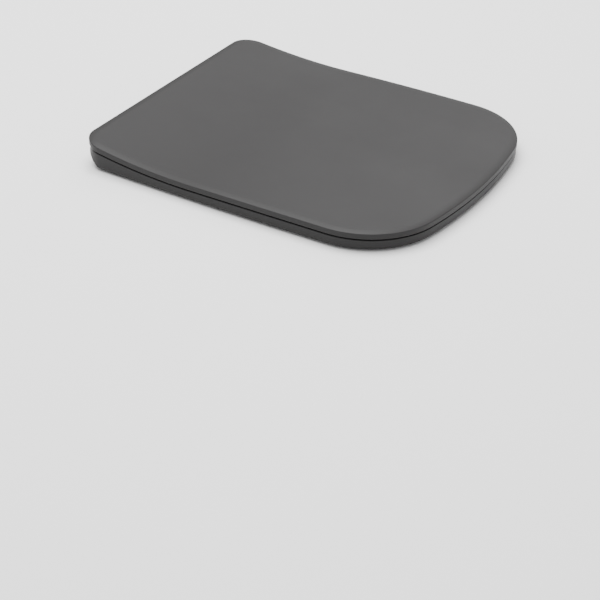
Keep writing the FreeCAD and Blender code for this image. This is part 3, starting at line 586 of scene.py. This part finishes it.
def stations():
    """The ring's stations from the middle of the rear to the middle of the front. Each is
    (outline point, outward normal, kind, draw-in of a softened end)."""
    corner_x = LID_PLAN["half_width"] - LID_PLAN["rear_corner"] - CORNER_SETBACK
    rear_y = LID_PLAN["rear_y"] - SEAT_INSET
    rows = [(x, "barrel", 0.0) for x in np.linspace(0, LID_LUG_START - 0.2, 26)]
    rows += [(x, "knuckle", 0.0) for x in np.linspace(LID_LUG_START - 0.1, SEAT_LUG_START, 6)]
    for a in quarter(5):
        rows.append((SEAT_LUG_START + LUG_SOFT * (1 - math.cos(a)), "lug", LUG_SOFT * (1 - math.sin(a))))
    rows += [(x, "lug", 0.0) for x in np.linspace(SEAT_LUG_START + 1.5, corner_x - 0.8, 8)]
    found = [((x, rear_y), (0.0, 1.0), kind, drawn) for x, kind, drawn in rows]
    points, normals = half_outline(LID_PLAN, (1, 26, 80, 48, 40), SEAT_INSET)
    found += [(point, normal, "side", 0.0) for point, normal in zip(points[1:], normals[1:])]
    return found


def make_seat():
    """The ring as one closed sheet: at each station a section runs over the top from the opening,
    round the outer edge, back underneath, over the raised lip and up the opening's wall. Between
    the edge and the lip the section follows a cubic curve in plan, P = Hermite of both ends."""
    opening, opening_normals, bearings = opening_half()
    sections = []
    straight = LID_PLAN["half_width"] - LID_PLAN["rear_corner"] - CORNER_SETBACK
    corner_end_y = LID_PLAN["rear_y"] - LID_PLAN["rear_corner"]
    for point, normal, kind, drawn in stations():
        point, normal = np.array(point), np.array(normal)
        if kind == "side":
            turned = smoothstep(point[1], corner_end_y + 1.0, LID_PLAN["rear_y"] - 3.0)
        else:
            turned = 1.0
        x_share = smoothstep(abs(point[0]), SEAT_LUG_START + 1.0, straight)
        reach = 26.0 - 12.0 * x_share if kind != "side" else 14.0 + 6.0 * (1 - turned)
        ahead = smoothstep(corner_end_y + 4.0 - point[1], 0.0, 60.0)
        free = ahead if kind == "side" else 1 - smoothstep(abs(point[0]), 40.0, SEAT_LUG_START)
        bearing = math.atan2(point[0], point[1] - FAN_Y)
        spot = [np.interp(bearing, bearings, opening[:, axis]) for axis in (0, 1)]
        facing = np.array([np.interp(bearing, bearings, opening_normals[:, axis]) for axis in (0, 1)])
        facing /= np.hypot(*facing)
        sections.append(seat_section(point, normal, kind, drawn, turned, reach, free, np.array(spot), facing))
    sections = whole_loop(np.array(sections))
    rows = sections.shape[1]
    # painted highlight: full along the outer edge's arc, weaker over the lip round the opening
    painted_highlight = on_edges(rows, TOP_ROWS - 1, TOP_ROWS + ARC_ROWS)
    lip_start = TOP_ROWS + 2 * ARC_ROWS + WALL_ROWS + UNDER_ROWS + MIDDLE_ROWS
    painted_highlight = np.maximum(painted_highlight, LIP_HIGHLIGHT * on_edges(rows, lip_start + 3, lip_start + 16))
    return mesh_object("seat_body", [(sections, True, painted_highlight)], SEAT_FINISH, sharp=42.0)


def seat_section(point, normal, kind, drawn, turned, reach, free, spot, facing):
    """One closed section of the ring, as an array of points. turned is 1 where the outer edge is
    the round bar and 0 where it is the plain rim; free is 0 where sections fan out of a corner."""
    top_z = float(top_height(point[1] - normal[1] * 6.0, SEAT_DROP))
    crest = top_z + (HINGE_Z + LUG_RADIUS - top_z) * turned
    radius = RIM_NOSE + (LUG_RADIUS - RIM_NOSE) * turned
    under = (RIM_UNDER + (LUG_RADIUS - RIM_UNDER) * turned, RIM_UNDER + (LUG_UNDER - RIM_UNDER) * turned)

    def bulge(s, y):
        """Height of the top at s from the outer edge: the plain top, and near the edge the round
        bar sqrt(r^2 - (s - r)^2), joined to it smoothly."""
        flat = top_height(y, SEAT_DROP)
        if turned < 1e-3:
            return flat
        round_z = crest - radius + np.sqrt(np.clip(radius**2 - (s - radius) ** 2, 0, None))
        round_z = round_z - LUG_FALL * np.clip(s - 1.5 * radius, 0, None)
        return np.where(s < radius, round_z, np.maximum(flat, smooth_max(flat, round_z, 0.8 * turned)))

    def top_at(s):
        return bulge(s, point[1] - normal[1] * s)

    if kind == "barrel" or kind == "knuckle":
        clear = BARREL_CLEAR if kind == "barrel" else LUG_CLEAR
        under = (0.0, 1.0)
        s, z = channel_profile(reach, lambda s: top_height(point[1] - s, SEAT_DROP), clear, point[1], RIM_Z)
    else:
        s, z = edge_profile(reach, top_at, (radius, crest), under, RIM_Z)
        if drawn:
            pull = drawn / LUG_RADIUS * (1 - smoothstep(s, 14.0, 30.0))
            s, z = s + (LUG_RADIUS - s) * pull, z + (HINGE_Z - z) * pull
    outer = point - normal * s[:, None]

    wall_low = RIM_Z + LIP_SOFT
    flat_t = np.linspace(LIP_REACH, LIP_SOFT, 5, endpoint=False)
    under_turn = quarter(9)
    lip_t = LIP_SOFT * (1 - np.sin(under_turn))
    lip_z = wall_low - LIP_SOFT * np.cos(under_turn)
    spot_top = float(top_height(spot[1], SEAT_DROP)) - OPENING_FALL
    wall_z = np.linspace(wall_low, spot_top - BROW, 6)[1:-1]
    over_turn = quarter(8)
    brow_t = BROW * (1 - np.cos(over_turn))
    brow_z = spot_top - BROW + BROW * np.sin(over_turn)
    out_t = np.linspace(BROW, LIP_REACH, 6)[1:]
    t = np.concatenate([flat_t, lip_t, np.zeros(4), brow_t, out_t])
    inner = spot + facing * t[:, None]

    start, end = point - normal * reach, spot + facing * LIP_REACH
    gap = np.hypot(*(end - start))
    share = np.linspace(0, 1, MIDDLE_ROWS + 2)[1:-1]
    pull = (0.05 + 0.30 * free) * gap
    a, b = start - normal * pull, end + facing * 0.4 * gap
    weights = ((1 - share) ** 3, 3 * (1 - share) ** 2 * share, 3 * (1 - share) * share**2, share**3)
    plan = sum(weight[:, None] * place for weight, place in zip(weights, (start, a, b, end)))
    run = np.concatenate([[0], np.hypot(*np.diff(np.vstack([start, plan, end]), axis=0).T)]).cumsum()
    total = run[-1]
    mid_s, mid_t = reach + run[1:-1], LIP_REACH + total - run[1:-1]

    def hollow(s, t):
        """Depth of the smooth dish in the underside: it falls away slowly from the outer edge and
        climbs back up to the lip round the opening."""
        from_edge = smoothstep(s, 7.0 + 19.0 * turned, 34.0 + 26.0 * turned)
        return DISH_DEPTH * from_edge * smoothstep(t, 6.0, 15.0)

    def fall(t):
        """How far the top has eased down at t from the opening."""
        return OPENING_FALL * (1 - smoothstep(t, 4.0, 30.0))

    full = reach + total + LIP_REACH
    z = z.copy()
    bottom = slice(TOP_ROWS + ARC_ROWS + WALL_ROWS + ARC_ROWS, None)
    z[bottom] += hollow(s[bottom], full - s[bottom])
    z[:TOP_ROWS] -= fall(full - s[:TOP_ROWS])
    mid_under = under_edge(mid_s, under, RIM_Z) + hollow(mid_s, mid_t)
    mid_over = bulge(mid_s, plan[:, 1]) - fall(mid_t)
    flat_z = under_edge(full - flat_t, under, RIM_Z) + hollow(full - flat_t, flat_t)
    out_z = top_height(spot[1] + facing[1] * out_t, SEAT_DROP) - fall(out_t)
    inner_z = np.concatenate([flat_z, lip_z, wall_z, brow_z, out_z])
    return np.concatenate([
        np.column_stack([outer, z]),
        np.column_stack([plan, mid_under]),
        np.column_stack([inner, inner_z]),
        np.column_stack([plan, mid_over])[::-1],
    ])


# ---------------------------------------------------------------- pads and their plinths


def stadium(length, width, count=14):
    """A pill outline, long along X: two half circles joined by straight runs."""
    half = width / 2
    run = length / 2 - half
    turn = np.linspace(-math.pi / 2, math.pi / 2, count)
    right = np.stack([run + half * np.cos(turn), half * np.sin(turn)], 1)
    return np.concatenate([right, -right])


def pill(x, y, length, width, rows):
    """A closed pill: each row is (inset, z), and both ends close to a line along its middle."""
    sections = []
    for inset, z in rows:
        ring = stadium(length - 2 * inset, max(width - 2 * inset, 1e-4))
        sections.append(np.column_stack([ring + (x, y), np.full(len(ring), z)]))
    return np.array(sections)


def pad_rows(low, high, soft, half, dome):
    """Rows of a soft block: a slightly domed face, a rounded edge, a wall and a flat back."""
    shares = np.linspace(0, 1, 6, endpoint=False)
    rows = [(half - 1e-3 - (half - soft) * share, low + dome * share**2) for share in shares]
    rows += [(soft * (1 - math.sin(a)), low + dome + soft * (1 - math.cos(a))) for a in quarter(7)]
    rows += [(0.0, high - 0.1), (0.05, high), (half - 1e-3, high)]
    return rows


def plinth_rows(low, high, soft, half):
    """Rows of the raised island round a pad: flat face, rounded edge, and a foot that flares."""
    rows = [(half - 1e-3, low), (half * 0.4, low), (soft + 1.2, low)]
    rows += [(soft * (1 - math.sin(a)) + 1.0, low + soft * (1 - math.cos(a))) for a in quarter(6)]
    rows += [(1.0 * math.cos(a), low + soft + 0.2 + 1.0 * (1 - math.cos(a)) * 0.9) for a in quarter(5)]
    rows += [(0.0, high), (half - 1e-3, high)]
    return rows


PRESS = next(joint for joint in frame["joints"] if joint["name"] == "button_press")
INWARD = Vector(PRESS["axis"])
SPRING = frame["nodes"]["button_spring"]
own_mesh(SPRING)

lid = make_lid()
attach(lid, "lid")
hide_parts("lid_panel")

seat = make_seat()
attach(seat, "seat")
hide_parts("seat_ring")

PAD_TOP = 3.4
PLINTH_MARGIN = 2.2
PLINTH_HEIGHT = 4.0
BUFFER_STEM = 1.6
PLACES = [f"{end}_{side}" for end in ("front", "rear") for side in ("left", "right")]
for place in PLACES:
    low, high = box_mm(f"seat_pad_{place}")
    x, y = ((low + high) / 2)[:2]
    length, width = (high - low)[:2]
    rows = pad_rows(low[2], PAD_TOP, 1.1, width / 2, 0.25)
    pad = mesh_object(f"pad_{place}", [(pill(x, y, length, width, rows), False, 0.0)], RUBBER_FINISH)
    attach(pad, "seat")
    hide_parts(f"seat_pad_{place}")
    length, width = length + 2 * PLINTH_MARGIN, width + 2 * PLINTH_MARGIN
    rows = plinth_rows(RIM_Z, RIM_Z + PLINTH_HEIGHT, 0.9, width / 2)
    plinth = mesh_object(f"plinth_{place}", [(pill(x, y, length, width, rows), False, 0.0)], SEAT_FINISH)
    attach(plinth, "seat")
    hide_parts("seat_ring")

    low, high = box_mm(f"lid_buffer_{place}")
    x, y = ((low + high) / 2)[:2]
    length, width = (high - low)[:2]
    rows = pad_rows(low[2], high[2] - BUFFER_STEM, 0.8, width / 2, 0.2)
    block = mesh_object(f"buffer_{place}", [(pill(x, y, length, width, rows), False, 0.0)], RUBBER_FINISH)
    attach(block, "lid")
    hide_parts(f"lid_buffer_{place}")

# ---------------------------------------------------------------- floor, light and camera

floor_mesh = bpy.data.meshes.new("floor")
FLOOR = 9.0
CORNERS = [(-FLOOR, -FLOOR, 0), (FLOOR, -FLOOR, 0), (FLOOR, FLOOR, 0), (-FLOOR, FLOOR, 0)]
floor_mesh.from_pydata(CORNERS, [], [(0, 1, 2, 3)])
floor = bpy.data.objects.new("floor", floor_mesh)
bpy.context.scene.collection.objects.link(floor)
paint = bpy.data.materials.new("floor_paint")
paint.use_nodes = True
paint.node_tree.nodes["Principled BSDF"].inputs["Base Color"].default_value = (0.93, 0.93, 0.93, 1)
paint.node_tree.nodes["Principled BSDF"].inputs["Roughness"].default_value = 0.9
paint.node_tree.nodes["Principled BSDF"].inputs["Specular IOR Level"].default_value = 0.0
floor_mesh.materials.append(paint)

world = bpy.data.worlds.new("studio")
world.use_nodes = True
world.node_tree.nodes["Background"].inputs["Color"].default_value = (1, 1, 1, 1)
world.node_tree.nodes["Background"].inputs["Strength"].default_value = 0.74
bpy.context.scene.world = world


def soft_light(name, place, target, size_x, size_y, power):
    """A rectangular lamp at a place, turned to face a target."""
    lamp = bpy.data.lights.new(name, "AREA")
    lamp.shape = "RECTANGLE"
    lamp.size, lamp.size_y, lamp.energy = size_x, size_y, power
    holder = bpy.data.objects.new(name, lamp)
    bpy.context.scene.collection.objects.link(holder)
    holder.location = place
    holder.rotation_euler = (Vector(place) - Vector(target)).to_track_quat("Z", "Y").to_euler()


soft_light("key", (2.6, 0.5, 1.7), (0, 0, 0), 2.2, 1.8, 24)
soft_light("overhead", (0.2, 0.5, 2.6), (0, 0, 0), 2.4, 2.4, 172)


def look(azimuth, elevation, roll, eye, lens):
    """Make the camera: it faces along azimuth and elevation, in degrees, rolled about that line."""
    a, e, r = (math.radians(value) for value in (azimuth, elevation, roll))
    forward = Vector((-math.sin(a) * math.cos(e), math.cos(a) * math.cos(e), -math.sin(e)))
    right = Vector((math.cos(a), math.sin(a), 0))
    up = right.cross(forward)
    across = right * math.cos(r) + up * math.sin(r)
    upward = up * math.cos(r) - right * math.sin(r)
    data = bpy.data.cameras.new("camera")
    data.lens, data.sensor_width = lens, 36.0
    camera = bpy.data.objects.new("camera", data)
    bpy.context.scene.collection.objects.link(camera)
    turn = Matrix((across, upward, -forward)).transposed().to_4x4()
    camera.matrix_world = Matrix.Translation(Vector(eye)) @ turn
    bpy.context.scene.camera = camera


look(-58.91, 32.332, 0.92, (-1.6602, -0.9803, 1.0111), 107.876)
